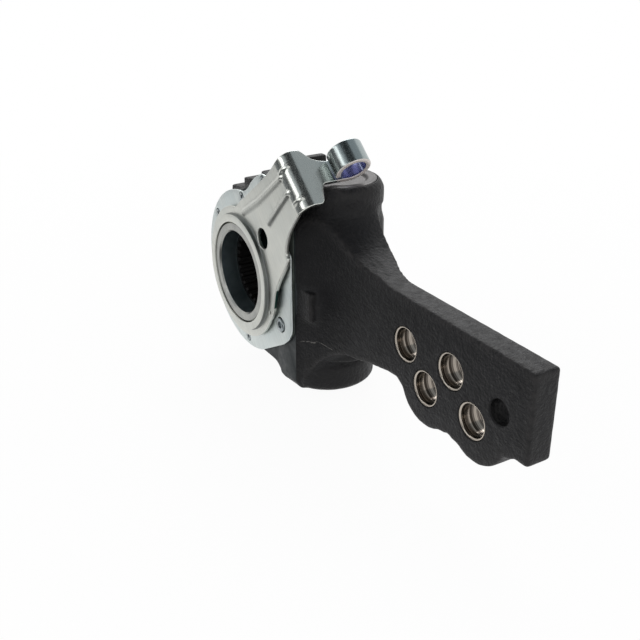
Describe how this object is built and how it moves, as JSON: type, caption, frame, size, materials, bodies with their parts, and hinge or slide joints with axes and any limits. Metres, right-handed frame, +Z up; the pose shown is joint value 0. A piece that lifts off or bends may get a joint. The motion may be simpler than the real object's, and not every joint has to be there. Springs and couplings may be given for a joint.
{
  "type": "brake slack adjuster",
  "caption": "Automatic slack adjuster for an S-cam drum brake, with a splined worm wheel, a lever with bushed clevis holes and a folded control arm.",
  "frame": {"origin": "centre of the splined bore, in the plane of the worm's axis", "axes": "+X along the lever away from the bore, +Y along the bore from the cover side to the back, +Z up, along the worm shaft towards its spring cover"},
  "size_m": [0.2455, 0.0604, 0.1315],
  "materials": {
    "black_paint": "satin black paint over rough cast iron",
    "zinc_plate": "bright zinc plate with a faint passivation tint",
    "bright_steel": "machined and hardened steel",
    "dark_steel": "dark blued steel",
    "spring_steel": "oiled spring wire",
    "bearing_bronze": "sintered bronze",
    "seal_rubber": "nitrile rubber",
    "gasket": "fibre sheet with rubber binder"
  },
  "bodies": {
    "adjuster_body": {"housing": "black_paint", "lever_bush_1": "bright_steel", "lever_bush_2": "bright_steel", "lever_bush_3": "bright_steel", "lever_bush_4": "bright_steel", "front_cover": "zinc_plate", "cover_gasket": "gasket", "cover_screw_1": "zinc_plate", "cover_screw_2": "zinc_plate", "cover_screw_3": "zinc_plate", "cover_screw_4": "zinc_plate", "cover_screw_5": "zinc_plate", "cover_lock_screw": "zinc_plate", "rear_hub_seal": "seal_rubber", "worm_spring": "spring_steel", "spring_cover": "zinc_plate", "worm_lower_bush": "bearing_bronze", "worm_shaft_seal": "seal_rubber", "worm_thrust_washer": "bearing_bronze"},
    "worm_wheel_body": {"worm_wheel": "dark_steel"},
    "worm_body": {"worm_screw": "bright_steel"},
    "control_arm_body": {"control_arm": "zinc_plate", "control_disc": "dark_steel", "front_hub_seal": "seal_rubber"},
    "rack_body": {"rack": "dark_steel"},
    "clutch_body": {"clutch_pinion": "bright_steel", "clutch_spring": "spring_steel"}
  },
  "joints": [
    {"name": "worm_wheel_turn", "type": "hinge", "parent": "adjuster_body", "child": "worm_wheel_body", "pos_m": [0, 0, 0], "axis": [0, 1, 0], "continuous": true},
    {"name": "worm_turn", "type": "hinge", "parent": "adjuster_body", "child": "worm_body", "pos_m": [0.0485, 0, 0], "axis": [0, 0, 1], "continuous": true},
    {"name": "control_arm_turn", "type": "hinge", "parent": "adjuster_body", "child": "control_arm_body", "pos_m": [0, 0, 0], "axis": [0, -1, 0], "range_deg": [0, 18]},
    {"name": "rack_slide", "type": "slide", "parent": "adjuster_body", "child": "rack_body", "axis": [-1, 0, 0], "range_m": [0, 0.0108]},
    {"name": "clutch_turn", "type": "hinge", "parent": "adjuster_body", "child": "clutch_body", "pos_m": [0.0485, 0, 0.0335], "axis": [0, 0, -1], "range_deg": [0, 78]}
  ],
  "couplings": [
    {"joint": "worm_turn", "follows": "worm_wheel_turn", "ratio": 24},
    {"joint": "rack_slide", "follows": "control_arm_turn", "m_per_rad": 0.0343},
    {"joint": "clutch_turn", "follows": "control_arm_turn", "ratio": 4.2875}
  ]
}
